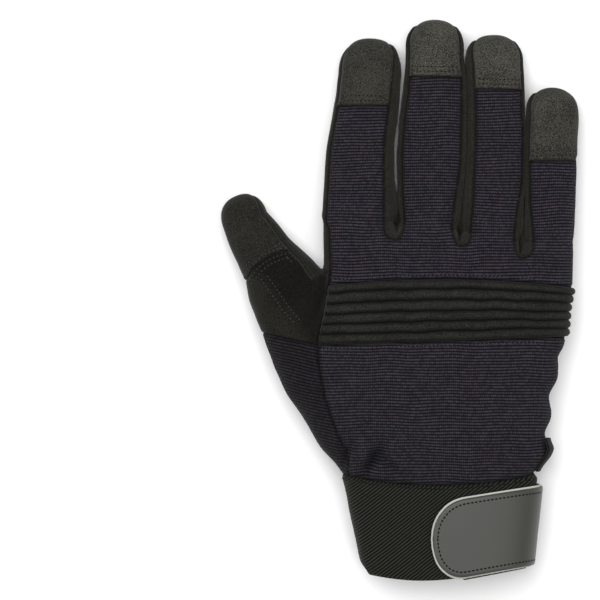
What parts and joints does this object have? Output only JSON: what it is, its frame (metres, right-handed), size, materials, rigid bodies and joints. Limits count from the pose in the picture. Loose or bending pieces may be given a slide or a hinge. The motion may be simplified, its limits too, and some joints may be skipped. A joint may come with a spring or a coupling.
{
  "type": "mechanic glove",
  "caption": "Right-hand work glove of black synthetic suede and navy ribbed knit, with a pleated knuckle band, an elastic cuff and a hook and loop wrist tab.",
  "frame": {"origin": "middle of the glove's base, on the surface it lies on", "axes": "+Y towards the fingertips, +Z out of the back of the hand, thumb towards -X"},
  "size_m": [0.1552, 0.242, 0.032],
  "materials": {
    "black_suede": "synthetic suede, matte",
    "navy_knit": "ribbed knit",
    "pleated_suede": "pleated synthetic suede, matte",
    "navy_knit_lower": "ribbed knit",
    "navy_knit_gusset": "ribbed knit",
    "thumb_suede": "synthetic suede, matte",
    "cap_suede_thumb": "synthetic suede, matte",
    "thumb_palm_suede": "synthetic suede, matte",
    "side_suede": "synthetic suede, matte",
    "fourchette_suede_a": "synthetic suede, matte",
    "fourchette_suede_b": "synthetic suede, matte",
    "fourchette_suede_c": "synthetic suede, matte",
    "cap_suede_index": "synthetic suede, matte",
    "cap_suede_middle": "synthetic suede, matte",
    "cap_suede_ring": "synthetic suede, matte",
    "cap_suede_little": "synthetic suede, matte",
    "black_elastic": "woven elastic with a diagonal twill",
    "patch_suede_upper": "synthetic suede, matte",
    "patch_suede_lower": "synthetic suede, matte",
    "flap_suede": "synthetic suede lining, matte",
    "loop_fabric": "loop pile of a hook and loop fastener",
    "white_backing": "off-white backing, cut edge",
    "grey_rubber": "soft rubbery face, satin"
  },
  "bodies": {
    "root": {"palm_panel": "black_suede", "back_panel_upper": "navy_knit", "knuckle_band": "pleated_suede", "back_panel_lower": "navy_knit_lower", "thumb_gusset": "navy_knit_gusset", "thumb_back": "thumb_suede", "thumb_tip_cap": "cap_suede_thumb", "thumb_palm": "thumb_palm_suede", "thumb_index_side_strip": "side_suede", "fourchette_index_middle": "fourchette_suede_a", "fourchette_middle_ring": "fourchette_suede_b", "fourchette_ring_little": "fourchette_suede_c", "index_tip_cap": "cap_suede_index", "middle_tip_cap": "cap_suede_middle", "ring_tip_cap": "cap_suede_ring", "little_tip_cap": "cap_suede_little", "cuff_band": "black_elastic", "palm_patch_upper": "patch_suede_upper", "palm_patch_lower": "patch_suede_lower", "wrist_vent_flap": "flap_suede", "loop_patch": "loop_fabric", "tab_backing": "white_backing", "strap_tab": "grey_rubber"}
  },
  "joints": []
}
